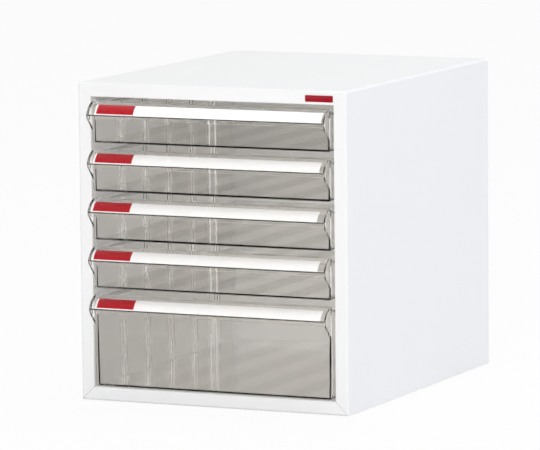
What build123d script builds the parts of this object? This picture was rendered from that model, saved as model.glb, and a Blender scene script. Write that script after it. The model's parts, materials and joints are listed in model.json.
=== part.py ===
from build123d import *
import os
from math import acos, asin, cos, degrees, radians, sin, sqrt, tan

# Desktop drawer unit: a folded sheet-steel casing with five clear moulded drawers.
# Millimetres, X to the right, Y to the back, Z up, with the floor at Z = 0.

# Drawer slots, which set the casing's height
slot_pitch = 45.0
shallow_count = 4
deep_slots = 2

# Casing sheet
casing_width = 270.0
casing_depth = 340.0
sheet = 0.8
flange_width = 13.0
return_depth = 10.0
bend_radius = 2.5
return_bend = 1.4
seam_width = 0.5
seam_depth = 0.5
base_upstand = 9.0
rear_pan_depth = 10.0
fit_gap = 0.2
weld_gap = 0.1

# Feet, pressed into holes in the base
foot_height = 2.0
foot_diameter = 16.0
foot_inset = 30.0
foot_stem = 5.0
foot_stem_gap = 0.2
foot_plug = 2.5

# Badge plate on the top flange
badge_width = 27.4
badge_height = 6.1
badge_thickness = 0.5
badge_corner = 1.0
badge_from_side = 26.7
badge_from_top = 7.4

# Uprights welded inside the casing's sides
upright_depth = 6.0
upright_crown = 16.0
upright_foot = 6.0
upright_front = 16.0
upright_rear_space = 40.0
upright_end_gap = 1.0

# Drawer front plate
plate_side_gap = 2.6
plate_top_gap = 3.2
plate_bottom_gap = 2.6
deep_bottom_gap = 1.2
plate_face = 1.0
plate_thickness = 2.0
plate_corner = 2.0
border_face = 2.0
border_width = 2.0

# Curved hood and pull lip along the top of each front
hood_reach = 14.4
hood_radius = 19.0
hood_axis_back = 3.2
hood_wall = 1.8
nose_radius = 6.0
ear_taper = 44.0
lip_bottom_drop = 16.6
lip_depth = 4.6
lip_step_depth = 1.6
lip_step_height = 3.6
lip_round = 0.7

# Label card and index tab under the hood
card_top_drop = 3.9
card_bottom_drop = 12.0
card_end_gap = 3.6
card_slides = (1.6, -0.6, -3.2, -3.2, -0.5)
card_thickness = 0.4
tab_thickness = 0.2
strip_gap = 0.1
tab_width = 37.5
tab_inset = 2.0
tab_border = 0.9

# Drawer tray
tray_rear_space = 31.0
tray_wall = 1.4
tray_floor = 1.4
tray_floor_lift = 0.2
tray_draft = 1.0
tray_round = 1.2
plate_margin = 0.5
rim_drop = 7.5
rim_reach = 2.4
rim_thickness = 1.8
rim_rear_reach = 2.5
rim_front_gap = 6.0
rim_corner = 4.0

# Ribs moulded inside the tray
divider_bays = 6
divider_slot = 4.4
divider_rib = 1.6
divider_reach = 2.4
divider_height = 52.0
divider_below_rim = 3.0
centre_slot = 4.6
centre_rib = 1.4
floor_rib_pitch = 45.0
floor_rib_width = 8.0
floor_rib_height = 0.5
floor_rib_end_gap = 9.0
root_overlap = 0.4
touch = 0.01

# Runner rails and the drawers' stops
drawer_travel = 240.0
rail_front = 12.0
rail_side_gap = 0.8
rail_guide_gap = 1.0
rail_guide_back = 1.0
slide_gap = 0.3
stop_gap = 0.3
stop_tab_drop = 4.0
lug_reach = 2.2
lug_height = 3.0
lug_length = 4.0
lug_gap = 0.6

# Sizes that follow from the ones above
slot_count = shallow_count + deep_slots
drawer_count = shallow_count + 1
opening_width = casing_width - 2 * flange_width
opening_height = slot_count * slot_pitch
casing_height = opening_height + 2 * flange_width
casing_top = foot_height + casing_height
casing_middle = foot_height + casing_height / 2
opening_bottom = foot_height + flange_width
opening_top = opening_bottom + opening_height
inner_side = casing_width / 2 - sheet
front_y = (hood_reach - casing_depth) / 2
back_y = front_y + casing_depth
centre_y = front_y + casing_depth / 2

plate_half = opening_width / 2 - plate_side_gap
plate_back_y = front_y - plate_face + plate_thickness
ear_inner = plate_half - border_width
hood_axis_y = front_y + hood_axis_back
hood_axis_drop = sqrt(hood_radius**2 - hood_axis_back**2)
hood_inner = hood_radius - hood_wall
nose_y = front_y - hood_reach + nose_radius
nose_swing = degrees(acos((hood_axis_y - nose_y) / (hood_radius - nose_radius)))
hook_back_y = front_y - hood_reach + lip_depth
tab_radius = hood_inner - strip_gap
card_radius = tab_radius - tab_thickness - strip_gap

tray_half = plate_half - plate_margin
tray_back_y = back_y - tray_rear_space
rim_back_y = tray_back_y + rim_rear_reach
slope = tan(radians(tray_draft))
bay_length = (tray_back_y - tray_wall - plate_back_y) / divider_bays

rail_outer = inner_side - weld_gap - upright_depth - weld_gap
rail_inner = tray_half + rail_side_gap
rail_start = front_y + rail_front
rail_end = rim_back_y + stop_gap + sheet
lug_start = rail_start + sheet + stop_gap + drawer_travel


# Heights that belong to one drawer, counted from 1 at the top
def slot_top(number):
    return opening_top - (number - 1) * slot_pitch


def plate_top(number):
    return slot_top(number) - plate_top_gap


def plate_bottom(number):
    if number == drawer_count:
        return opening_bottom + deep_bottom_gap
    return slot_top(number) - slot_pitch + plate_bottom_gap


def rim_top(number):
    return slot_top(number) - rim_drop


def floor_top(number):
    return plate_bottom(number) + tray_floor_lift + tray_floor


def rib_top(number):
    return min(rim_top(number) - divider_below_rim, floor_top(number) + divider_height)


# A plane that faces the front, at depth y
def facing(y):
    return Plane.XZ.offset(-y)


# Block of the casing's outline, with its front edges and upper long edges rounded
def rounded_case(inset, radius):
    with BuildPart() as block:
        with BuildSketch(facing(front_y + inset)):
            with Locations((0, casing_middle)):
                Rectangle(casing_width - 2 * inset, casing_height - 2 * inset)
        extrude(amount=-casing_depth)
        long_edges = block.edges().filter_by(Axis.Y).group_by(Axis.Z)[-1]
        front_edges = block.faces().sort_by(Axis.Y)[0].edges()
        fillet(long_edges + front_edges, radius=radius)
    return block


# Folded sheet box, open at the back, with the front frame and its inward returns
def folded_case():
    with BuildPart() as folded:
        add(rounded_case(0, bend_radius).part)
        add(rounded_case(sheet, bend_radius - sheet).part, mode=Mode.SUBTRACT)
        with BuildSketch(facing(front_y)):
            with Locations((0, casing_middle)):
                Rectangle(opening_width + 2 * sheet, opening_height + 2 * sheet)
        extrude(amount=-return_depth)
        with BuildSketch(facing(front_y)):
            with Locations((0, casing_middle)):
                Rectangle(opening_width, opening_height)
        extrude(amount=-casing_depth, mode=Mode.SUBTRACT)
        frame_face = folded.faces().filter_by(Axis.Y).sort_by(Axis.Y)[0]
        fillet(frame_face.inner_wires()[0].edges(), radius=return_bend)
    return folded


# Block that holds all below the two bottom mitres, widened by shift on each side
def below_mitres(shift):
    half_top = opening_width / 2 - flange_width + shift
    half_bottom = casing_width / 2 + flange_width + shift
    with BuildPart() as wedge:
        with BuildSketch(facing(front_y - sheet)):
            with BuildLine():
                Polyline(
                    (-half_top, opening_bottom + flange_width),
                    (-half_bottom, foot_height - flange_width),
                    (half_bottom, foot_height - flange_width),
                    (half_top, opening_bottom + flange_width),
                    close=True,
                )
            make_face()
        extrude(amount=-(casing_depth + 2 * sheet))
    return wedge


# Shell: top and sides in one sheet, with a ground seam at each top corner
folded = folded_case()
with BuildPart() as cabinet_shell:
    add(folded.part)
    add(below_mitres(seam_width / 2).part, mode=Mode.SUBTRACT)
    with BuildSketch(facing(front_y)):
        with BuildLine():
            for side in (-1, 1):
                Line((side * opening_width / 2, opening_top), (side * casing_width / 2, casing_top))
        trace(line_width=seam_width)
    extrude(amount=-seam_depth, mode=Mode.SUBTRACT)
cabinet_shell.part.label = "cabinet_shell"

# Base: the sheet below the mitres, with upstands welded inside the sides
foot_x = casing_width / 2 - foot_inset
foot_y = casing_depth / 2 - foot_inset
with BuildPart() as base_panel:
    add(folded.part)
    add(below_mitres(-seam_width / 2).part, mode=Mode.INTERSECT)
    with BuildSketch(Plane.XY.offset(foot_height)):
        with Locations((0, centre_y)):
            with GridLocations(2 * (inner_side - weld_gap) - sheet, 0, 2, 1):
                Rectangle(sheet, casing_depth - 2 * (return_depth + rear_pan_depth))
    extrude(amount=base_upstand)
    with BuildSketch(Plane.XY.offset(foot_height)):
        with Locations((0, centre_y)):
            with GridLocations(2 * foot_x, 2 * foot_y, 2, 2):
                Circle(foot_stem / 2 + foot_stem_gap)
    extrude(amount=sheet, mode=Mode.SUBTRACT)
base_panel.part.label = "base_panel"

# Rear panel: a shallow pan, flanged forward, set between the sides
with BuildPart() as rear_panel:
    pan_width = casing_width - 2 * (sheet + fit_gap)
    pan_height = casing_height - 2 * (sheet + fit_gap)
    with BuildSketch(facing(back_y)):
        with Locations((0, casing_middle)):
            RectangleRounded(pan_width, pan_height, bend_radius)
    extrude(amount=rear_pan_depth)
    with BuildSketch(facing(back_y - sheet)):
        with Locations((0, casing_middle)):
            RectangleRounded(pan_width - 2 * sheet, pan_height - 2 * sheet, bend_radius - sheet)
    extrude(amount=rear_pan_depth, mode=Mode.SUBTRACT)
rear_panel.part.label = "rear_panel"

# Feet: rubber pads with stems pressed through the base
with BuildPart() as feet:
    with BuildSketch():
        with Locations((0, centre_y)):
            with GridLocations(2 * foot_x, 2 * foot_y, 2, 2):
                Circle(foot_diameter / 2)
    extrude(amount=foot_height)
    with BuildSketch(Plane.XY.offset(foot_height)):
        with Locations((0, centre_y)):
            with GridLocations(2 * foot_x, 2 * foot_y, 2, 2):
                Circle(foot_stem / 2)
    extrude(amount=foot_plug)
feet.part.label = "feet"

# Badge: a bare plate at the right of the top flange
with BuildPart() as badge_plate:
    with BuildSketch(facing(front_y)):
        with Locations((casing_width / 2 - badge_from_side, casing_top - badge_from_top)):
            RectangleRounded(badge_width, badge_height, badge_corner)
    extrude(amount=badge_thickness)
badge_plate.part.label = "badge_plate"


# Upright: a hat section standing against one side of the casing
def make_upright(side, start):
    crown_y = front_y + start + upright_foot + upright_crown / 2
    wall_x = inner_side - weld_gap
    bottom = foot_height + base_upstand + upright_end_gap
    top = casing_top - bend_radius - upright_end_gap
    with BuildPart() as upright:
        with BuildSketch(Plane.XY.offset(bottom)):
            with Locations((side * (wall_x - sheet / 2), crown_y)):
                Rectangle(sheet, upright_crown + 2 * upright_foot)
            with Locations((side * (wall_x - upright_depth / 2), crown_y)):
                Rectangle(upright_depth, upright_crown)
            with Locations((side * (wall_x - (upright_depth - sheet) / 2), crown_y)):
                Rectangle(upright_depth - sheet, upright_crown - 2 * sheet, mode=Mode.SUBTRACT)
        extrude(amount=top - bottom)
    return upright


# Rail: a C section in which a drawer's rim slides, with a stop tab at each end
def make_rail(side, number):
    ledge_top = rim_top(number) - rim_thickness - slide_gap
    guide_bottom = rim_top(number) + rail_guide_gap
    middle = (ledge_top + guide_bottom) / 2
    ledge_width = rail_outer - rail_inner
    guide_width = ledge_width - rail_guide_back
    ledge_x = side * (rail_outer - ledge_width / 2)
    with BuildPart() as rail:
        with BuildSketch(facing(rail_start)):
            with Locations((side * (rail_outer - sheet / 2), middle)):
                Rectangle(sheet, guide_bottom - ledge_top + 2 * sheet)
            with Locations((ledge_x, ledge_top - sheet / 2)):
                Rectangle(ledge_width, sheet)
            with Locations((side * (rail_outer - guide_width / 2), guide_bottom + sheet / 2)):
                Rectangle(guide_width, sheet)
        extrude(amount=-(rail_end - rail_start))
        with BuildSketch(facing(rail_start)):
            with Locations((ledge_x, ledge_top - stop_tab_drop / 2)):
                Rectangle(ledge_width, stop_tab_drop)
        with BuildSketch(facing(rail_end - sheet)):
            with Locations((ledge_x, middle)):
                Rectangle(ledge_width, guide_bottom - ledge_top)
        extrude(amount=-sheet)
    return rail


# Half of the tray's outer width at a height, with its draft
def tray_half_at(number, height):
    return tray_half - (rim_top(number) - height) * slope


# Block of the tray's outline with its draft, brought in by inset on each side
def tray_block(number, inset, bottom, top, start, end):
    half_top = tray_half_at(number, top) - inset
    half_bottom = tray_half_at(number, bottom) - inset
    with BuildPart() as block:
        with BuildSketch(facing(start)):
            with BuildLine():
                Polyline(
                    (-half_top, top),
                    (-half_bottom, bottom),
                    (half_bottom, bottom),
                    (half_top, top),
                    close=True,
                )
            make_face()
        extrude(amount=-(end - start))
    return block


# Front: a plate with a raised border, side ears and the curved hood with its pull lip
def make_front(number):
    top = plate_top(number)
    bottom = plate_bottom(number)
    axis_z = top - hood_axis_drop
    nose_z = axis_z + (hood_radius - nose_radius) * sin(radians(nose_swing))
    lip_bottom = top - lip_bottom_drop
    hook_top = top - card_bottom_drop - strip_gap
    step_y = front_y - hood_reach + lip_step_depth
    step_z = lip_bottom + lip_step_height
    hood_swing = degrees(asin(hood_axis_drop / hood_radius))
    pocket_swing = degrees(acos((hood_axis_back + plate_face) / hood_inner))
    hook_swing = degrees(asin((hook_top - axis_z) / hood_inner))
    border_y = front_y - border_face
    plate_y = front_y - plate_face
    clear_y = front_y - hood_reach - lip_depth
    with BuildPart() as front:
        with BuildSketch(Plane.YZ):
            with BuildLine():
                CenterArc((hood_axis_y, axis_z), hood_radius, 180 - hood_swing, hood_swing - nose_swing)
                nose = CenterArc((nose_y, nose_z), nose_radius, 180 - nose_swing, nose_swing + ear_taper)
                taper_start = nose @ 1
                taper_fall = (border_y - taper_start.X) / tan(radians(ear_taper))
                Polyline(
                    taper_start,
                    (border_y, taper_start.Y - taper_fall),
                    (border_y, bottom),
                    (plate_back_y, bottom),
                    (plate_back_y, top),
                    (front_y, top),
                )
            make_face()
        extrude(amount=plate_half, both=True)
        fillet(front.edges().filter_by(Axis.Y).group_by(Axis.Z)[0], radius=plate_corner)
        with BuildSketch(Plane.YZ):
            with BuildLine():
                inside = CenterArc(
                    (hood_axis_y, axis_z), hood_inner, 180 - pocket_swing, pocket_swing - hook_swing
                )
                Polyline(
                    inside @ 1,
                    (hook_back_y, hook_top),
                    (hook_back_y, lip_bottom),
                    (step_y, lip_bottom),
                    (step_y, step_z),
                    (clear_y, step_z),
                    (clear_y, bottom + border_width),
                    (plate_y, bottom + border_width),
                    inside @ 0,
                )
            make_face()
        extrude(amount=ear_inner, both=True, mode=Mode.SUBTRACT)
        lip_edges = front.edges().filter_by(Axis.X)
        lip_edges = lip_edges.filter_by_position(Axis.Z, lip_bottom - touch, lip_bottom + touch)
        fillet(lip_edges, radius=lip_round)
    return front


# Tray: floor, drafted walls, the rim that slides in the rails, and the stop lugs
def make_tray(number):
    top = rim_top(number)
    bottom = plate_bottom(number) + tray_floor_lift
    lug_top = top - rim_thickness - slide_gap - sheet - lug_gap
    lug_centre = tray_half_at(number, lug_top) + (lug_reach - root_overlap) / 2
    rim_length = rim_back_y - plate_back_y - rim_front_gap
    with BuildPart() as tray:
        add(tray_block(number, 0, bottom, top, plate_back_y - plate_face, tray_back_y).part)
        rear_edges = tray.faces().sort_by(Axis.Y)[-1].edges().sort_by(Axis.Z)[:-1]
        long_edges = tray.edges().filter_by(Axis.Y).group_by(Axis.Z)[0]
        fillet(rear_edges + long_edges, radius=tray_round)
        with BuildSketch(Plane.XY.offset(top - rim_thickness)) as rim:
            with Locations((0, rim_back_y - rim_length / 2)):
                Rectangle(2 * (tray_half + rim_reach), rim_length)
            fillet(rim.vertices().group_by(Axis.Y)[-1], radius=rim_corner)
        extrude(amount=rim_thickness)
        inside_end = tray_back_y - tray_wall
        add(
            tray_block(number, tray_wall, floor_top(number), top + tray_wall, plate_back_y, inside_end).part,
            mode=Mode.SUBTRACT,
        )
        with BuildSketch(Plane.XY.offset(lug_top - lug_height)):
            with Locations((0, lug_start + lug_length / 2)):
                with GridLocations(2 * lug_centre, 0, 2, 1):
                    Rectangle(lug_reach + root_overlap, lug_length)
        extrude(amount=lug_height)
    return tray


# Ribs inside the tray: divider pairs on the walls and long ribs on the floor
def make_ribs(number):
    low = floor_top(number) - root_overlap
    high = rib_top(number)
    wall_low = tray_half_at(number, low) - tray_wall
    wall_high = tray_half_at(number, high) - tray_wall
    rear_wall_y = tray_back_y - tray_wall
    pair_starts = []
    for bay in range(1, divider_bays):
        pair_starts.append(plate_back_y + bay * bay_length - divider_slot / 2 - divider_rib)
        pair_starts.append(plate_back_y + bay * bay_length + divider_slot / 2)
    with BuildPart() as ribs:
        with BuildSketch(*[facing(y) for y in pair_starts]):
            for side in (-1, 1):
                with BuildLine():
                    Polyline(
                        (side * (wall_high + root_overlap), high),
                        (side * (wall_high - divider_reach), high),
                        (side * (wall_low - divider_reach), low),
                        (side * (wall_low + root_overlap), low),
                        close=True,
                    )
                make_face()
        extrude(amount=-divider_rib)
        with BuildSketch(Plane.XY.offset(low)):
            for wall_y, inward in ((plate_back_y, 1), (rear_wall_y, -1)):
                with Locations((0, wall_y + inward * (divider_reach - root_overlap) / 2)):
                    with GridLocations(centre_slot + centre_rib, 0, 2, 1):
                        Rectangle(centre_rib, divider_reach + root_overlap)
        extrude(amount=high - low)
        side_count = int((wall_low - floor_rib_end_gap) / floor_rib_pitch)
        with BuildSketch(Plane.XY.offset(low)):
            with Locations((0, (plate_back_y + rear_wall_y) / 2)):
                with GridLocations(floor_rib_pitch, 0, 2 * side_count + 1, 1):
                    Rectangle(floor_rib_width, rear_wall_y - plate_back_y - 2 * floor_rib_end_gap)
        extrude(amount=root_overlap + floor_rib_height)
    return ribs


# Drawer: front, tray and ribs in one clear moulding
def make_drawer(number):
    with BuildPart() as drawer:
        add(make_front(number).part)
        add(make_tray(number).part)
        add(make_ribs(number).part)
    return drawer


# Strip bent to the hood's curve, lying inside it at the given radius
def hood_strip(number, radius, thickness, upper_drop, lower_drop, left, right):
    axis_z = plate_top(number) - hood_axis_drop
    with BuildPart() as strip:
        with BuildSketch(Plane.YZ.offset(left)):
            with BuildLine():
                arcs = []
                for arc_radius in (radius, radius - thickness):
                    upper = degrees(asin((hood_axis_drop - upper_drop) / arc_radius))
                    lower = degrees(asin((hood_axis_drop - lower_drop) / arc_radius))
                    arcs.append(CenterArc((hood_axis_y, axis_z), arc_radius, 180 - upper, upper - lower))
                Line(arcs[0] @ 0, arcs[1] @ 0)
                Line(arcs[0] @ 1, arcs[1] @ 1)
            make_face()
        extrude(amount=right - left)
    return strip


# The pieces that repeat, each under its own name
pieces = [cabinet_shell, base_panel, rear_panel, feet, badge_plate]
for side, side_name in ((-1, "left"), (1, "right")):
    upright_rear = casing_depth - upright_rear_space - upright_crown - 2 * upright_foot
    for start, end_name in ((upright_front, "front"), (upright_rear, "rear")):
        upright = make_upright(side, start)
        upright.part.label = f"{side_name}_{end_name}_upright"
        pieces.append(upright)
    for number in range(1, drawer_count + 1):
        rail = make_rail(side, number)
        rail.part.label = f"{side_name}_rail_{number}"
        pieces.append(rail)

card_half = ear_inner - card_end_gap
for number in range(1, drawer_count + 1):
    drawer = make_drawer(number)
    drawer.part.label = f"drawer_{number}"
    slide = card_slides[(number - 1) % len(card_slides)]
    card_left, card_right = slide - card_half, slide + card_half
    card = hood_strip(
        number, card_radius, card_thickness, card_top_drop, card_bottom_drop, card_left, card_right
    )
    card.part.label = f"label_card_{number}"
    tab_bottom_drop = card_bottom_drop - tab_border
    tab_left = card_left + tab_inset
    tab = hood_strip(
        number, tab_radius, tab_thickness, card_top_drop, tab_bottom_drop, tab_left, tab_left + tab_width
    )
    tab.part.label = f"index_tab_{number}"
    pieces += [drawer, card, tab]

os.makedirs("parts", exist_ok=True)
for piece in pieces:
    export_step(piece.part, f"parts/{piece.part.label}.step")
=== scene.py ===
import json
from math import asin, cos, radians, sin, sqrt

import bmesh
import bpy
from bpy.props import FloatProperty, FloatVectorProperty, IntProperty, PointerProperty
from mathutils import Matrix, Vector

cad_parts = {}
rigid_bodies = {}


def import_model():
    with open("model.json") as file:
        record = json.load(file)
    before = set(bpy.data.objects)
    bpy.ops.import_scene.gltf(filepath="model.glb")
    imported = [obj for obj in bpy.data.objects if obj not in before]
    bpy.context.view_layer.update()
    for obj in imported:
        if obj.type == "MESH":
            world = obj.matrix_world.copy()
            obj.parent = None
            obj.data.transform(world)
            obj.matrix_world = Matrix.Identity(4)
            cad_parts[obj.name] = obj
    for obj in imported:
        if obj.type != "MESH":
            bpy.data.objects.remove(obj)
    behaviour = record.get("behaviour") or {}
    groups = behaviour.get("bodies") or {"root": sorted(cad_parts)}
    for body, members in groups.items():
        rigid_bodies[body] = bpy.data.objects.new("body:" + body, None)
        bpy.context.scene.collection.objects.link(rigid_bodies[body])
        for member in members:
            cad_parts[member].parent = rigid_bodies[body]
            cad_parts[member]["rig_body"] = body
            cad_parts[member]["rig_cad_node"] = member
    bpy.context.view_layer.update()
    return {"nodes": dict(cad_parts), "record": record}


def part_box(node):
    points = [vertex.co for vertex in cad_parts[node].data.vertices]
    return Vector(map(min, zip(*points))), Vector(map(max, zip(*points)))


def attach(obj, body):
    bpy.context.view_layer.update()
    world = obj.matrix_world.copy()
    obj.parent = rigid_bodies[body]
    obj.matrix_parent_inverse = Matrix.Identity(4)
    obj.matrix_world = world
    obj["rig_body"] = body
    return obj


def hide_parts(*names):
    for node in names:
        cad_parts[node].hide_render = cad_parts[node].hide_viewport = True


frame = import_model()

bl_info = {
    "name": "Desktop drawer unit",
    "version": (1, 0, 0),
    "blender": (4, 5, 0),
    "location": "3D View > Sidebar > Drawer unit",
    "description": "Finishes a steel desktop unit with clear drawers and sets it on a studio stage",
    "category": "Object",
}

MM = 0.001
DRAWERS = [body for body in frame["record"]["behaviour"]["bodies"] if body.startswith("drawer_")]
SHEET_PIECES = [
    part["node"] for part in frame["record"]["subparts"] if part["material_slot"] == "white_steel"
]


def scaled(value):
    """Millimetres as metres."""
    return value * MM


# The drawers' front, as in part.py. Drops are measured down from the front plate's top.
FRONT_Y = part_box("cabinet_shell")[0].y
HOOD_RADIUS = scaled(19.0)
HOOD_AXIS_BACK = scaled(3.2)
HOOD_AXIS_Y = FRONT_Y + HOOD_AXIS_BACK
HOOD_AXIS_DROP = sqrt(HOOD_RADIUS**2 - HOOD_AXIS_BACK**2)
NOSE_REACH = scaled(13)
EAR_INNER = scaled(117.4)
# The lip's dark line lies between these drops. It is painted shade: a near-black tint on the clear
# plastic.
LIP_SHADE_TOP = scaled(11.9)
LIP_SHADE_BOTTOM = scaled(13.1)

# The tray: its floor above the drawer's lowest point, and the low pads on the floor
FLOOR_RISE = scaled(1.6)
PAD_HEIGHT = scaled(0.5)
TRAY_START = scaled(1.2)
PADS_START = scaled(5)
FLOOR_SEARCH = scaled(0.1)
PAD_SEARCH = scaled(0.02)

# The bent strips under the hood, by the radius of their outer face
CARD_RADIUS = scaled(16.8)
CARD_THICKNESS = scaled(0.4)
CARD_UPPER_DROP = scaled(3.9)
CARD_LOWER_DROP = scaled(12.0)
TAB_RADIUS = scaled(17.1)
TAB_THICKNESS = scaled(0.2)
TAB_LOWER_DROP = scaled(11.1)

# The badge and the feet. A groove step is one inset of the sole: thickness, then depth in mm.
BADGE_CORNER = scaled(1.0)
FOOT_RADIUS = scaled(8.0)
FOOT_HEIGHT = scaled(2.0)
GROOVE_STEPS = ((2.6, 0), (0.3, -0.5), (1.0, 0), (0.3, 0.5))

# Distances at which vertices become one, and angles that tell edges from curves
WELD = scaled(0.001)
PAD_WELD = scaled(0.01)
FLAT_ANGLE = radians(0.5)
SMOOTH_ANGLE = radians(35)
CORNER_ANGLE = radians(60)
STRAIGHT_UP = 0.9

# Looks: noise mostly stays between NOISE_LOW and NOISE_HIGH
NOISE_LOW = 0.3
NOISE_HIGH = 0.7
PAINT_SPECULAR = 0.35
PAINT_DRIFT = 0.012
PAINT_SPREAD = 0.04
FINISH_SPREAD = 0.05
FRONT_GLOSS = 0.35
TRAY_GLOSS = 0.85
FLOW_MARK_SIZE = scaled(24)
FLOW_MARK_HEIGHT = scaled(0.0005)
BAND_FULL = 0.4
BAND_END = 0.6
# Rays with more bounces than this pass the clear plastic straight
LONG_PATH = 9

# Each soft lamp: name, place and width in metres, share of the lamp power, colour
LAMPS = (
    ("front", (1.0, -2.6, 0.85), 1.2, 0.44, (1, 1, 1)),
    ("left_fill", (-0.9, -2.9, 0.4), 1.5, 0.53, (1, 1, 1)),
    ("side", (2.9, 0.5, 1.3), 1.5, 0.69, (0.9, 0.94, 1)),
    ("top", (0.0, 0.3, 3.0), 1.8, 0.74, (1, 1, 1)),
)
FLOOR_SIZE = 30
SENSOR_WIDTH_MM = 36
FAR_CLIP = 100


class SteelSettings(bpy.types.PropertyGroup):
    """Powder coat on the folded sheet."""

    colour: FloatVectorProperty(
        name="Colour", description="Paint colour", subtype="COLOR", size=3,
        default=(0.925, 0.925, 0.928), min=0, max=1,
    )
    roughness: FloatProperty(
        name="Roughness", description="Mean roughness of the paint", subtype="FACTOR",
        default=0.44, min=0, max=1,
    )
    peel_size: FloatProperty(
        name="Peel size", description="Width of one bump of the paint's orange peel", unit="LENGTH",
        default=scaled(1.1), min=scaled(0.1),
    )
    peel_height: FloatProperty(
        name="Peel height", description="Height of the orange peel", unit="LENGTH",
        default=scaled(0.012), min=0,
    )


class PlasticSettings(bpy.types.PropertyGroup):
    """Clear moulding of the drawers."""

    colour: FloatVectorProperty(
        name="Tint", description="Colour of light that passes a wall", subtype="COLOR", size=3,
        default=(0.999, 0.992, 0.981), min=0, max=1,
    )
    # Painted shade: a near-black tint on the lip's narrow line stands in for the dark refraction of
    # the rounded lip.
    lip_shade_colour: FloatVectorProperty(
        name="Painted lip shade tint", subtype="COLOR", size=3,
        description="Colour of light that passes the dark line on the pull lip",
        default=(0.03, 0.03, 0.03), min=0, max=1,
    )
    # Painted shade: the floor between its pale bands is tinted darker, so the bands read as
    # highlights.
    band_shade_colour: FloatVectorProperty(
        name="Floor painted shade tint", subtype="COLOR", size=3,
        description="Colour of light that passes the floor between its pale bands",
        default=(0.66, 0.655, 0.64), min=0, max=1,
    )
    deep_band_shade_colour: FloatVectorProperty(
        name="Deep floor painted shade tint", description="The same for the deep drawer, whose bands are fainter",
        subtype="COLOR", size=3, default=(0.86, 0.857, 0.845), min=0, max=1,
    )
    lamp_light: FloatVectorProperty(
        name="Lamp light", description="Share of lamp light that passes one surface",
        subtype="COLOR", size=3, default=(0.997, 0.994, 0.989), min=0, max=1,
    )
    roughness: FloatProperty(
        name="Roughness", description="Roughness of the moulded faces", subtype="FACTOR",
        default=0.04, min=0, max=1,
    )
    ior: FloatProperty(name="IOR", description="Index of refraction", default=1.38, min=1, max=2)
    edge_round: FloatProperty(
        name="Edge round", description="Width of the rounding on the moulding's edges",
        unit="LENGTH", default=scaled(0.3), min=0,
    )


class StripSettings(bpy.types.PropertyGroup):
    """Label strips, index tabs and badge."""

    card_colour: FloatVectorProperty(
        name="Card", description="Colour of the label strip", subtype="COLOR", size=3,
        default=(0.97, 0.97, 0.97), min=0, max=1,
    )
    tab_colour: FloatVectorProperty(
        name="Tab", description="Colour of the index tab", subtype="COLOR", size=3,
        default=(0.5, 0.001, 0.01), min=0, max=1,
    )
    badge_colour: FloatVectorProperty(
        name="Badge", description="Colour of the badge plate", subtype="COLOR", size=3,
        default=(0.36, 0.004, 0.016), min=0, max=1,
    )
    curve_steps: IntProperty(
        name="Curve steps", description="Segments across the bent strip", default=14, min=3, max=64,
    )


class StageSettings(bpy.types.PropertyGroup):
    """Camera, lamps, floor and background."""

    azimuth: FloatProperty(
        name="Azimuth", description="Camera's turn from straight in front towards the right",
        subtype="ANGLE", default=radians(24.54),
    )
    elevation: FloatProperty(
        name="Elevation", description="Camera's height angle", subtype="ANGLE",
        default=radians(7.21),
    )
    roll: FloatProperty(
        name="Roll", description="Camera's turn about its own axis", subtype="ANGLE",
        default=radians(-0.545),
    )
    distance: FloatProperty(
        name="Distance", description="From the camera to the point that it aims at", unit="LENGTH",
        default=4.6525, min=0.1,
    )
    aim: FloatVectorProperty(
        name="Aim", description="Point at the middle of the picture", subtype="TRANSLATION", size=3,
        default=(-0.01304, -0.00595, 0.15195),
    )
    lens: FloatProperty(
        name="Lens", description="Focal length in millimetres", default=328.62, min=1
    )
    floor_colour: FloatVectorProperty(
        name="Floor", description="Colour of the floor", subtype="COLOR", size=3,
        default=(0.8, 0.8, 0.8), min=0, max=1,
    )
    floor_white: FloatProperty(
        name="Floor whiteness", subtype="FACTOR",
        description="Share of plain white in the floor as the camera sees it",
        default=0.95, min=0, max=1,
    )
    ambient: FloatProperty(
        name="Ambient", description="Strength of the light from all around", default=0.28, min=0,
    )
    lamp_power: FloatProperty(
        name="Lamp power", description="Power of the main soft lamp in watts", default=51, min=0,
    )


class DrawerUnitSettings(bpy.types.PropertyGroup):
    """All that a user would change."""

    steel: PointerProperty(type=SteelSettings)
    plastic: PointerProperty(type=PlasticSettings)
    strips: PointerProperty(type=StripSettings)
    stage: PointerProperty(type=StageSettings)


def settings():
    """The scene's settings of the drawer unit."""
    return bpy.context.scene.drawer_unit


def only(thing):
    """Makes an object the only one that is selected and active."""
    bpy.ops.object.select_all(action="DESELECT")
    thing.select_set(True)
    bpy.context.view_layer.objects.active = thing


def place_in_mesh(thing):
    """Applies an object's place, turn and size to its mesh."""
    only(thing)
    bpy.ops.object.transform_apply(location=True, rotation=True, scale=True)


def apply_modifier(thing, kind, name, **values):
    """Adds a modifier, sets it and applies it."""
    only(thing)
    modifier = thing.modifiers.new(name, kind)
    for key, value in values.items():
        setattr(modifier, key, value)
    bpy.ops.object.modifier_apply(modifier=modifier.name)


def finish_piece(thing, name, body, materials, replaced=None):
    """Names a piece, gives it its materials and its body, and hides the CAD node that it replaces.
    """
    thing.name = name
    thing.data.name = name
    slots = thing.data.materials
    while len(slots) < len(materials):
        slots.append(None)
    for index, material in enumerate(materials):
        slots[index] = material
    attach(thing, body)
    if replaced:
        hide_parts(replaced)


def new_material(name):
    """A material with one Principled shader, and its node tree."""
    material = bpy.data.materials.new(name)
    material.use_nodes = True
    tree = material.node_tree
    return material, tree, tree.nodes["Principled BSDF"]


def calculated(tree, operation, first, second):
    """A Math node's output, from two values that are each an output or a plain number."""
    node = tree.nodes.new("ShaderNodeMath")
    node.operation = operation
    for socket, value in zip(node.inputs, (first, second)):
        if isinstance(value, bpy.types.NodeSocket):
            tree.links.new(value, socket)
        else:
            socket.default_value = value
    return node.outputs[0]


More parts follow.
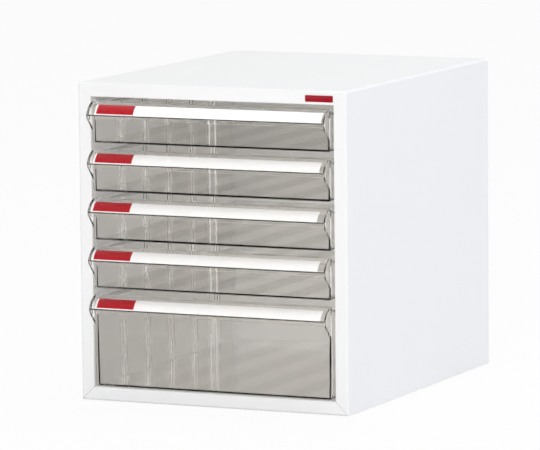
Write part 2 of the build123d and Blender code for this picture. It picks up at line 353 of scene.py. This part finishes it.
def fine_grain_group():
    """Shared effect: uneven height and a slow drift, read at the size of one grain."""
    group = bpy.data.node_groups.get("fine_grain")
    if group:
        return group
    group = bpy.data.node_groups.new("fine_grain", "ShaderNodeTree")
    face = group.interface
    size = face.new_socket("Grain size", in_out="INPUT", socket_type="NodeSocketFloat")
    size.default_value = scaled(1)
    face.new_socket("Height", in_out="OUTPUT", socket_type="NodeSocketFloat")
    face.new_socket("Drift", in_out="OUTPUT", socket_type="NodeSocketFloat")
    nodes, links = group.nodes, group.links
    entry = nodes.new("NodeGroupInput")
    exit_node = nodes.new("NodeGroupOutput")
    coords = nodes.new("ShaderNodeTexCoord")
    frequency = calculated(group, "DIVIDE", 1, entry.outputs["Grain size"])
    fine = nodes.new("ShaderNodeTexNoise")
    fine.inputs["Detail"].default_value = 2
    links.new(coords.outputs["Object"], fine.inputs["Vector"])
    links.new(frequency, fine.inputs["Scale"])
    slow = nodes.new("ShaderNodeTexNoise")
    slow.inputs["Scale"].default_value = 14
    slow.inputs["Detail"].default_value = 3
    links.new(coords.outputs["Object"], slow.inputs["Vector"])
    links.new(fine.outputs["Fac"], exit_node.inputs["Height"])
    links.new(slow.outputs["Fac"], exit_node.inputs["Drift"])
    return group


def painted_floor_bands_group():
    """Shared effect: a mask of soft parallel bands along Y, one in each pitch across X, for the
    painted pale bands on the floor.
    """
    group = bpy.data.node_groups.get("painted_floor_bands")
    if group:
        return group
    group = bpy.data.node_groups.new("painted_floor_bands", "ShaderNodeTree")
    face = group.interface
    for name, value in (("Pitch", scaled(45)), ("Centre", scaled(11)), ("Width", scaled(22))):
        socket = face.new_socket(name, in_out="INPUT", socket_type="NodeSocketFloat")
        socket.default_value = value
    face.new_socket("Mask", in_out="OUTPUT", socket_type="NodeSocketFloat")
    nodes, links = group.nodes, group.links
    entry = nodes.new("NodeGroupInput")
    exit_node = nodes.new("NodeGroupOutput")
    coords = nodes.new("ShaderNodeTexCoord")
    split = nodes.new("ShaderNodeSeparateXYZ")
    links.new(coords.outputs["Object"], split.inputs[0])
    shifted = calculated(group, "SUBTRACT", split.outputs["X"], entry.outputs["Centre"])
    half = calculated(group, "MULTIPLY", entry.outputs["Pitch"], 0.5)
    folded = calculated(group, "PINGPONG", shifted, half)
    full = calculated(group, "MULTIPLY", entry.outputs["Width"], BAND_FULL)
    end = calculated(group, "MULTIPLY", entry.outputs["Width"], BAND_END)
    ramp = nodes.new("ShaderNodeMapRange")
    ramp.interpolation_type = "SMOOTHSTEP"
    ramp.inputs["To Min"].default_value = 1
    ramp.inputs["To Max"].default_value = 0
    links.new(folded, ramp.inputs["Value"])
    links.new(full, ramp.inputs["From Min"])
    links.new(end, ramp.inputs["From Max"])
    links.new(ramp.outputs["Result"], exit_node.inputs["Mask"])
    return group


def add_grain(tree, grain_size):
    """Places the fine grain in a material at a grain size."""
    grain = tree.nodes.new("ShaderNodeGroup")
    grain.node_tree = fine_grain_group()
    grain.inputs["Grain size"].default_value = grain_size
    return grain


def spread(tree, source, low, high):
    """Maps a 0 to 1 value to a range, and returns the output."""
    ranged = tree.nodes.new("ShaderNodeMapRange")
    ranged.inputs["From Min"].default_value = NOISE_LOW
    ranged.inputs["From Max"].default_value = NOISE_HIGH
    ranged.inputs["To Min"].default_value = low
    ranged.inputs["To Max"].default_value = high
    tree.links.new(source, ranged.inputs["Value"])
    return ranged.outputs["Result"]


def add_bump(tree, shader, source, height):
    """Feeds a height to the shader's normal through a Bump node."""
    bump = tree.nodes.new("ShaderNodeBump")
    bump.inputs["Distance"].default_value = height
    tree.links.new(source, bump.inputs["Height"])
    tree.links.new(bump.outputs["Normal"], shader.inputs["Normal"])


def tinted(tree, source, colour, change):
    """A colour that drifts by a small share with a 0 to 1 value."""
    mix = tree.nodes.new("ShaderNodeMix")
    mix.data_type = "RGBA"
    dark = [channel * (1 - change) for channel in colour]
    mix.inputs["A"].default_value = (*dark, 1)
    mix.inputs["B"].default_value = (*colour, 1)
    tree.links.new(source, mix.inputs["Factor"])
    return mix.outputs["Result"]


def powder_coat():
    """White powder coat: a semi-gloss paint with a fine orange peel."""
    steel = settings().steel
    material, tree, shader = new_material("white_powder_coat")
    shader.inputs["Specular IOR Level"].default_value = PAINT_SPECULAR
    grain = add_grain(tree, steel.peel_size)
    colour = tinted(tree, grain.outputs["Drift"], steel.colour, PAINT_DRIFT)
    tree.links.new(colour, shader.inputs["Base Color"])
    low, high = steel.roughness - PAINT_SPREAD, steel.roughness + PAINT_SPREAD
    rough = spread(tree, grain.outputs["Height"], low, high)
    tree.links.new(rough, shader.inputs["Roughness"])
    add_bump(tree, shader, grain.outputs["Height"], steel.peel_height)
    return material


def clear_plastic(name, colour, gloss, between=None):
    """Clear polystyrene with flow marks. Lamp light, diffuse light and long paths pass it straight.

    gloss is the tint of its reflections. between, if given, is the darker colour between soft
    bands: painted shade that leaves pale bands standing in for highlights on the floor.
    """
    plastic = settings().plastic
    material, tree, shader = new_material(name)
    shader.inputs["Base Color"].default_value = (*colour, 1)
    if between:
        bands = tree.nodes.new("ShaderNodeGroup")
        bands.node_tree = painted_floor_bands_group()
        mix = tree.nodes.new("ShaderNodeMix")
        mix.data_type = "RGBA"
        mix.inputs["A"].default_value = (*between, 1)
        mix.inputs["B"].default_value = (*colour, 1)
        tree.links.new(bands.outputs["Mask"], mix.inputs["Factor"])
        tree.links.new(mix.outputs["Result"], shader.inputs["Base Color"])
    shader.inputs["IOR"].default_value = plastic.ior
    shader.inputs["Transmission Weight"].default_value = 1
    shader.inputs["Specular Tint"].default_value = (gloss, gloss, gloss, 1)
    grain = add_grain(tree, FLOW_MARK_SIZE)
    rough = spread(tree, grain.outputs["Drift"], plastic.roughness * 0.5, plastic.roughness * 1.5)
    tree.links.new(rough, shader.inputs["Roughness"])
    add_bump(tree, shader, grain.outputs["Height"], FLOW_MARK_HEIGHT)
    path = tree.nodes.new("ShaderNodeLightPath")
    shadow, diffuse = path.outputs["Is Shadow Ray"], path.outputs["Is Diffuse Ray"]
    long_path = calculated(tree, "GREATER_THAN", path.outputs["Ray Depth"], LONG_PATH)
    straight = calculated(tree, "MAXIMUM", calculated(tree, "MAXIMUM", shadow, diffuse), long_path)
    clear = tree.nodes.new("ShaderNodeBsdfTransparent")
    clear.inputs["Color"].default_value = (*plastic.lamp_light, 1)
    pass_on = tree.nodes.new("ShaderNodeMixShader")
    tree.links.new(straight, pass_on.inputs["Fac"])
    tree.links.new(shader.outputs["BSDF"], pass_on.inputs[1])
    tree.links.new(clear.outputs["BSDF"], pass_on.inputs[2])
    tree.links.new(pass_on.outputs["Shader"], tree.nodes["Material Output"].inputs["Surface"])
    return material


def plain_finish(name, colour, roughness, grain_size, grain_height, change, shine=0.5, painted_glow=0):
    """An opaque finish with a fine grain, for card, print, enamel and rubber. A painted_glow above
    0 is a white emission, a painted glow.
    """
    material, tree, shader = new_material(name)
    shader.inputs["Specular IOR Level"].default_value = shine
    # White emission: a painted glow, with the strength given as painted_glow.
    shader.inputs["Emission Color"].default_value = (1, 1, 1, 1)
    shader.inputs["Emission Strength"].default_value = painted_glow
    grain = add_grain(tree, grain_size)
    surface = tinted(tree, grain.outputs["Height"], colour, change)
    tree.links.new(surface, shader.inputs["Base Color"])
    low, high = roughness - FINISH_SPREAD, roughness + FINISH_SPREAD
    rough = spread(tree, grain.outputs["Drift"], low, high)
    tree.links.new(rough, shader.inputs["Roughness"])
    add_bump(tree, shader, grain.outputs["Height"], grain_height)
    return material


class DRAWERUNIT_OT_casing(bpy.types.Operator):
    """Paints the folded sheet: shell, base, rear panel, uprights and rails"""

    bl_idname = "drawer_unit.casing"
    bl_label = "Casing"

    def execute(self, context):
        paint = powder_coat()
        for node in SHEET_PIECES:
            sheet = frame["nodes"][node]
            sheet.data.materials.clear()
            sheet.data.materials.append(paint)
        return {"FINISHED"}


class DRAWERUNIT_OT_drawers(bpy.types.Operator):
    """Makes each clear drawer: one smooth moulding with softened edges"""

    bl_idname = "drawer_unit.drawers"
    bl_label = "Drawers"

    def execute(self, context):
        plastic = settings().plastic
        clear = plastic.colour
        front = clear_plastic("clear_polystyrene", clear, FRONT_GLOSS)
        # The lip's dark line is painted shade: clear plastic with a near-black tint.
        line = clear_plastic("clear_polystyrene_painted_shade_line", plastic.lip_shade_colour, FRONT_GLOSS)
        tray = clear_plastic("clear_polystyrene_tray", clear, TRAY_GLOSS)
        # The floors' bands are painted: a darker tint between pale bands stands in for their
        # highlights.
        shallow_floor = clear_plastic(
            "clear_polystyrene_floor_painted_bands", clear, TRAY_GLOSS, plastic.band_shade_colour
        )
        deep_floor = clear_plastic(
            "clear_polystyrene_deep_painted_bands", clear, TRAY_GLOSS, plastic.deep_band_shade_colour
        )
        for drawer in DRAWERS:
            floor = deep_floor if drawer == DRAWERS[-1] else shallow_floor
            low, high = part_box(drawer)
            floor_z = low.z + FLOOR_RISE
            moulding = self.moulding(drawer, high.z, floor_z)
            finish_piece(
                moulding, drawer + "_moulding", drawer, [front, line, floor, tray],
                drawer,
            )
            self.mark_faces(moulding, high.z, floor_z)
        return {"FINISHED"}

    def mark_faces(self, moulding, top, floor_z):
        """Gives the lip's narrow line of painted shade, the floor with its painted bands and the
        rest of the tray their materials.
        """
        for face in moulding.data.polygons:
            x, y, z = face.center
            at_nose = y < FRONT_Y - NOSE_REACH and abs(x) < EAR_INNER
            in_shade_line = at_nose and LIP_SHADE_TOP < top - z < LIP_SHADE_BOTTOM
            faces_up = face.normal.z > STRAIGHT_UP
            on_floor = y > FRONT_Y and faces_up and abs(z - floor_z) < FLOOR_SEARCH
            in_tray = y > FRONT_Y + TRAY_START
            face.material_index = 1 if in_shade_line else 2 if on_floor else 3 if in_tray else 0

    def moulding(self, node, top, floor_z):
        """A copy of the drawer's solid with a flat floor, rounded edges and smooth curves."""
        only(frame["nodes"][node])
        bpy.ops.object.duplicate()
        moulding = bpy.context.active_object
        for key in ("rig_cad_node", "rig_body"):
            if key in moulding:
                del moulding[key]
        moulding.parent = None
        bpy.ops.mesh.customdata_custom_splitnormals_clear()
        bpy.ops.object.mode_set(mode="EDIT")
        bpy.ops.mesh.select_all(action="SELECT")
        bpy.ops.mesh.remove_doubles(threshold=WELD)
        bpy.ops.mesh.select_all(action="DESELECT")
        mesh = bmesh.from_edit_mesh(moulding.data)
        for vertex in mesh.verts:
            on_pad = abs(vertex.co.z - floor_z - PAD_HEIGHT) < PAD_SEARCH
            vertex.select_set(on_pad and vertex.co.y > FRONT_Y + PADS_START)
        bmesh.update_edit_mesh(moulding.data)
        # Flattens the floor's low pads; the floor's pale bands are painted by its material instead.
        bpy.ops.transform.translate(value=(0, 0, -PAD_HEIGHT))
        bpy.ops.mesh.select_all(action="SELECT")
        bpy.ops.mesh.remove_doubles(threshold=PAD_WELD)
        bpy.ops.mesh.dissolve_limited(angle_limit=FLAT_ANGLE)
        bpy.ops.mesh.select_all(action="DESELECT")
        mesh = bmesh.from_edit_mesh(moulding.data)
        for face in mesh.faces:
            face.select_set(face.calc_center_median().y < FRONT_Y - NOSE_REACH)
        bmesh.update_edit_mesh(moulding.data)
        # Cuts the nose at the top of the painted shade line.
        bpy.ops.mesh.bisect(plane_co=(0, 0, top - LIP_SHADE_TOP), plane_no=(0, 0, 1))
        bpy.ops.object.mode_set(mode="OBJECT")
        apply_modifier(
            moulding, "BEVEL", "edge_round", width=settings().plastic.edge_round, segments=2,
            limit_method="ANGLE", angle_limit=radians(40), harden_normals=False,
            use_clamp_overlap=True,
        )
        only(moulding)
        bpy.ops.object.shade_smooth_by_angle(angle=SMOOTH_ANGLE)
        apply_modifier(
            moulding, "WEIGHTED_NORMAL", "flat_faces", mode="FACE_AREA", weight=100, keep_sharp=True
        )
        return moulding


def bent_strip(plate_top, radius, thickness, lower_drop, left, right):
    """A thin strip bent to the hood's curve, whose outer face has the given radius."""
    axis_z = plate_top - HOOD_AXIS_DROP
    upper = asin((HOOD_AXIS_DROP - CARD_UPPER_DROP) / radius)
    lower = asin((HOOD_AXIS_DROP - lower_drop) / radius)
    start = Vector((0, HOOD_AXIS_Y - radius * cos(upper), axis_z + radius * sin(upper)))
    bpy.ops.object.select_all(action="DESELECT")
    bpy.ops.mesh.primitive_plane_add(size=1, location=start)
    strip = bpy.context.active_object
    strip.scale = (right - left, scaled(1), 1)
    strip.location.x = (left + right) / 2
    strip.location.y += scaled(0.5)
    place_in_mesh(strip)
    bpy.ops.object.mode_set(mode="EDIT")
    mesh = bmesh.from_edit_mesh(strip.data)
    for vertex in mesh.verts:
        vertex.select = vertex.co.y > start.y + scaled(0.5)
    mesh.select_flush(True)
    bmesh.update_edit_mesh(strip.data)
    bpy.ops.mesh.delete(type="VERT")
    bpy.ops.mesh.select_all(action="SELECT")
    bpy.ops.mesh.spin(
        steps=settings().strips.curve_steps, angle=lower - upper,
        center=(0, HOOD_AXIS_Y, axis_z), axis=(1, 0, 0),
    )
    bpy.ops.mesh.select_all(action="SELECT")
    bpy.ops.mesh.remove_doubles(threshold=WELD)
    bpy.ops.object.mode_set(mode="OBJECT")
    outwards = strip.data.polygons[0].normal.y < 0
    offset = -1 if outwards else 1
    apply_modifier(strip, "SOLIDIFY", "thickness", thickness=thickness, offset=offset)
    bpy.ops.object.mode_set(mode="EDIT")
    bpy.ops.mesh.select_all(action="SELECT")
    bpy.ops.mesh.normals_make_consistent(inside=False)
    bpy.ops.object.mode_set(mode="OBJECT")
    apply_modifier(
        strip, "BEVEL", "cut_edge", width=thickness / 5, segments=1, limit_method="ANGLE",
        angle_limit=CORNER_ANGLE,
    )
    only(strip)
    bpy.ops.object.shade_smooth_by_angle(angle=SMOOTH_ANGLE)
    return strip


class DRAWERUNIT_OT_strips(bpy.types.Operator):
    """Makes the white label strip and the bare red tab under each hood"""

    bl_idname = "drawer_unit.strips"
    bl_label = "Label strips and tabs"

    def execute(self, context):
        strips = settings().strips
        # The card has a painted glow: a white emission of 0.1 that makes it brighter than its light
        # makes it.
        card = plain_finish(
            "white_card", strips.card_colour, roughness=0.55, grain_size=scaled(0.4),
            grain_height=scaled(0.006), change=0.01, painted_glow=0.1,
        )
        print_red = plain_finish(
            "printed_red", strips.tab_colour, roughness=0.5, grain_size=scaled(0.5),
            grain_height=scaled(0.004), change=0.06, shine=0.05,
        )
        for drawer in DRAWERS:
            number = drawer.split("_")[1]
            plate_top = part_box(drawer)[1].z
            card_low, card_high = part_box("label_card_" + number)
            tab_low, tab_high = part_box("index_tab_" + number)
            strip = bent_strip(
                plate_top, CARD_RADIUS, CARD_THICKNESS, CARD_LOWER_DROP, card_low.x, card_high.x
            )
            finish_piece(
                strip, "label_strip_" + number, drawer, [card], "label_card_" + number
            )
            tab = bent_strip(
                plate_top, TAB_RADIUS, TAB_THICKNESS, TAB_LOWER_DROP, tab_low.x, tab_high.x
            )
            finish_piece(
                tab, "red_tab_" + number, drawer, [print_red], "index_tab_" + number
            )
        return {"FINISHED"}


class DRAWERUNIT_OT_badge(bpy.types.Operator):
    """Makes the bare red badge plate on the top flange"""

    bl_idname = "drawer_unit.badge"
    bl_label = "Badge"

    def execute(self, context):
        enamel = plain_finish(
            "red_enamel", settings().strips.badge_colour, roughness=0.22, grain_size=scaled(0.6),
            grain_height=scaled(0.003), change=0.08, shine=0.1,
        )
        low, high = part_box("badge_plate")
        middle = (low + high) / 2
        bpy.ops.object.select_all(action="DESELECT")
        bpy.ops.mesh.primitive_cube_add(size=1, location=middle)
        plate = bpy.context.active_object
        plate.scale = high - low
        place_in_mesh(plate)
        bpy.ops.object.mode_set(mode="EDIT")
        mesh = bmesh.from_edit_mesh(plate.data)
        for edge in mesh.edges:
            along = edge.verts[0].co - edge.verts[1].co
            edge.select = abs(along.y) > abs(along.x) and abs(along.y) > abs(along.z)
        bmesh.update_edit_mesh(plate.data)
        bpy.ops.mesh.bevel(offset=BADGE_CORNER, segments=6, affect="EDGES")
        bpy.ops.object.mode_set(mode="OBJECT")
        apply_modifier(
            plate, "BEVEL", "soft_edge", width=scaled(0.15), segments=3, limit_method="ANGLE",
            angle_limit=CORNER_ANGLE,
        )
        only(plate)
        bpy.ops.object.shade_smooth_by_angle(angle=radians(40))
        finish_piece(plate, "badge_enamel", "cabinet", [enamel], "badge_plate")
        return {"FINISHED"}


class DRAWERUNIT_OT_feet(bpy.types.Operator):
    """Makes the four rubber pads with a ring groove under the base"""

    bl_idname = "drawer_unit.feet"
    bl_label = "Feet"

    def execute(self, context):
        rubber = plain_finish(
            "pale_rubber", (0.5, 0.5, 0.49), roughness=0.7, grain_size=scaled(0.7),
            grain_height=scaled(0.02), change=0.08,
        )
        low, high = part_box("feet")
        for number, (x, y) in enumerate(
            ((low.x, low.y), (high.x, low.y), (low.x, high.y), (high.x, high.y)), 1
        ):
            centre_x = x + FOOT_RADIUS if x < 0 else x - FOOT_RADIUS
            centre_y = y + FOOT_RADIUS if y < 0 else y - FOOT_RADIUS
            pad = self.pad(centre_x, centre_y)
            finish_piece(pad, f"rubber_foot_{number}", "cabinet", [rubber], "feet")
        return {"FINISHED"}

    def pad(self, x, y):
        """One round pad with a soft rim and a groove in its sole."""
        bpy.ops.object.select_all(action="DESELECT")
        bpy.ops.mesh.primitive_cylinder_add(
            vertices=40, radius=FOOT_RADIUS, depth=FOOT_HEIGHT, location=(x, y, FOOT_HEIGHT / 2)
        )
        pad = bpy.context.active_object
        place_in_mesh(pad)
        bpy.ops.object.mode_set(mode="EDIT")
        mesh = bmesh.from_edit_mesh(pad.data)
        for face in mesh.faces:
            face.select = face.normal.z < -STRAIGHT_UP
        bmesh.update_edit_mesh(pad.data)
        for thickness, depth in GROOVE_STEPS:
            bpy.ops.mesh.inset(thickness=scaled(thickness), depth=scaled(depth))
        bpy.ops.object.mode_set(mode="OBJECT")
        apply_modifier(
            pad, "BEVEL", "soft_rim", width=scaled(0.25), segments=2, limit_method="ANGLE",
            angle_limit=radians(50),
        )
        only(pad)
        bpy.ops.object.shade_smooth_by_angle(angle=SMOOTH_ANGLE)
        return pad


def seen_by_camera(tree):
    """1 for what the camera sees directly, in gloss or through glass, and 0 for other light."""
    path = tree.nodes.new("ShaderNodeLightPath")
    seen = path.outputs["Is Camera Ray"]
    for name in ("Is Glossy Ray", "Is Transmission Ray"):
        seen = calculated(tree, "MAXIMUM", seen, path.outputs[name])
    return seen


class DRAWERUNIT_OT_stage(bpy.types.Operator):
    """Sets the camera, the soft lamps, the pale floor and the white background"""

    bl_idname = "drawer_unit.stage"
    bl_label = "Stage"

    def execute(self, context):
        stage = settings().stage
        self.camera(stage)
        self.floor(stage)
        self.background(stage)
        for name, place, size, share, colour in LAMPS:
            self.lamp(name, place, size, stage.lamp_power * share, colour)
        return {"FINISHED"}

    def camera(self, stage):
        """Camera at the photograph's angle."""
        level = cos(stage.elevation)
        back = Vector(
            (sin(stage.azimuth) * level, -cos(stage.azimuth) * level, sin(stage.elevation))
        )
        place = Vector(stage.aim) + back * stage.distance
        bpy.ops.object.camera_add(location=place)
        camera = bpy.context.active_object
        camera.name = "camera"
        turn = back.to_track_quat("Z", "Y").to_matrix() @ Matrix.Rotation(stage.roll, 3, "Z")
        camera.rotation_euler = turn.to_euler()
        camera.data.lens = stage.lens
        camera.data.sensor_width = SENSOR_WIDTH_MM
        camera.data.clip_end = FAR_CLIP
        bpy.context.scene.camera = camera

    def floor(self, stage):
        """Floor that the camera sees as nearly white, with part of the object's shadow."""
        bpy.ops.mesh.primitive_plane_add(size=FLOOR_SIZE)
        floor = bpy.context.active_object
        floor.name = "floor"
        material, tree, shader = new_material("pale_floor")
        shader.inputs["Base Color"].default_value = (*stage.floor_colour, 1)
        shader.inputs["Roughness"].default_value = 0.9
        shader.inputs["Specular IOR Level"].default_value = 0.1
        white = tree.nodes.new("ShaderNodeEmission")
        share = calculated(tree, "MULTIPLY", seen_by_camera(tree), stage.floor_white)
        mix = tree.nodes.new("ShaderNodeMixShader")
        tree.links.new(share, mix.inputs["Fac"])
        tree.links.new(shader.outputs["BSDF"], mix.inputs[1])
        tree.links.new(white.outputs["Emission"], mix.inputs[2])
        tree.links.new(mix.outputs["Shader"], tree.nodes["Material Output"].inputs["Surface"])
        floor.data.materials.append(material)

    def background(self, stage):
        """White background, and even light from all around."""
        world = bpy.data.worlds.new("studio")
        world.use_nodes = True
        bpy.context.scene.world = world
        tree = world.node_tree
        strength = tree.nodes.new("ShaderNodeMapRange")
        strength.inputs["To Min"].default_value = stage.ambient
        strength.inputs["To Max"].default_value = 1
        tree.links.new(seen_by_camera(tree), strength.inputs["Value"])
        background = tree.nodes["Background"]
        background.inputs["Color"].default_value = (1, 1, 1, 1)
        tree.links.new(strength.outputs["Result"], background.inputs["Strength"])

    def lamp(self, name, place, size, power, colour):
        """A square soft lamp that points at the object."""
        bpy.ops.object.light_add(type="AREA", location=place)
        lamp = bpy.context.active_object
        lamp.name = name + "_lamp"
        lamp.data.size = size
        lamp.data.energy = power
        lamp.data.color = colour
        towards = Vector(place) - Vector(settings().stage.aim)
        lamp.rotation_euler = towards.to_track_quat("Z", "Y").to_euler()


class DRAWERUNIT_PT_panel(bpy.types.Panel):
    """Lists the drawer unit's settings and steps"""

    bl_idname = "DRAWERUNIT_PT_panel"
    bl_label = "Drawer unit"
    bl_space_type = "VIEW_3D"
    bl_region_type = "UI"
    bl_category = "Drawer unit"

    def draw(self, context):
        unit = settings()
        for group in (unit.steel, unit.plastic, unit.strips, unit.stage):
            box = self.layout.box()
            for name in group.__annotations__:
                box.prop(group, name)
        for operator in OPERATORS:
            self.layout.operator(operator.bl_idname)


OPERATORS = (
    DRAWERUNIT_OT_casing,
    DRAWERUNIT_OT_drawers,
    DRAWERUNIT_OT_strips,
    DRAWERUNIT_OT_badge,
    DRAWERUNIT_OT_feet,
    DRAWERUNIT_OT_stage,
)
CLASSES = (
    SteelSettings,
    PlasticSettings,
    StripSettings,
    StageSettings,
    DrawerUnitSettings,
    *OPERATORS,
    DRAWERUNIT_PT_panel,
)


def register():
    for each in CLASSES:
        bpy.utils.register_class(each)
    bpy.types.Scene.drawer_unit = PointerProperty(type=DrawerUnitSettings)


def unregister():
    del bpy.types.Scene.drawer_unit
    for each in reversed(CLASSES):
        bpy.utils.unregister_class(each)


def main():
    register()
    bpy.context.scene.view_settings.view_transform = "Standard"
    light_paths = bpy.context.scene.cycles
    light_paths.max_bounces = 24
    light_paths.diffuse_bounces = 8
    light_paths.glossy_bounces = 8
    light_paths.transmission_bounces = 24
    light_paths.transparent_max_bounces = 48
    bpy.ops.drawer_unit.casing()
    bpy.ops.drawer_unit.drawers()
    bpy.ops.drawer_unit.strips()
    bpy.ops.drawer_unit.badge()
    bpy.ops.drawer_unit.feet()
    bpy.ops.drawer_unit.stage()


if __name__ == "__main__":
    main()
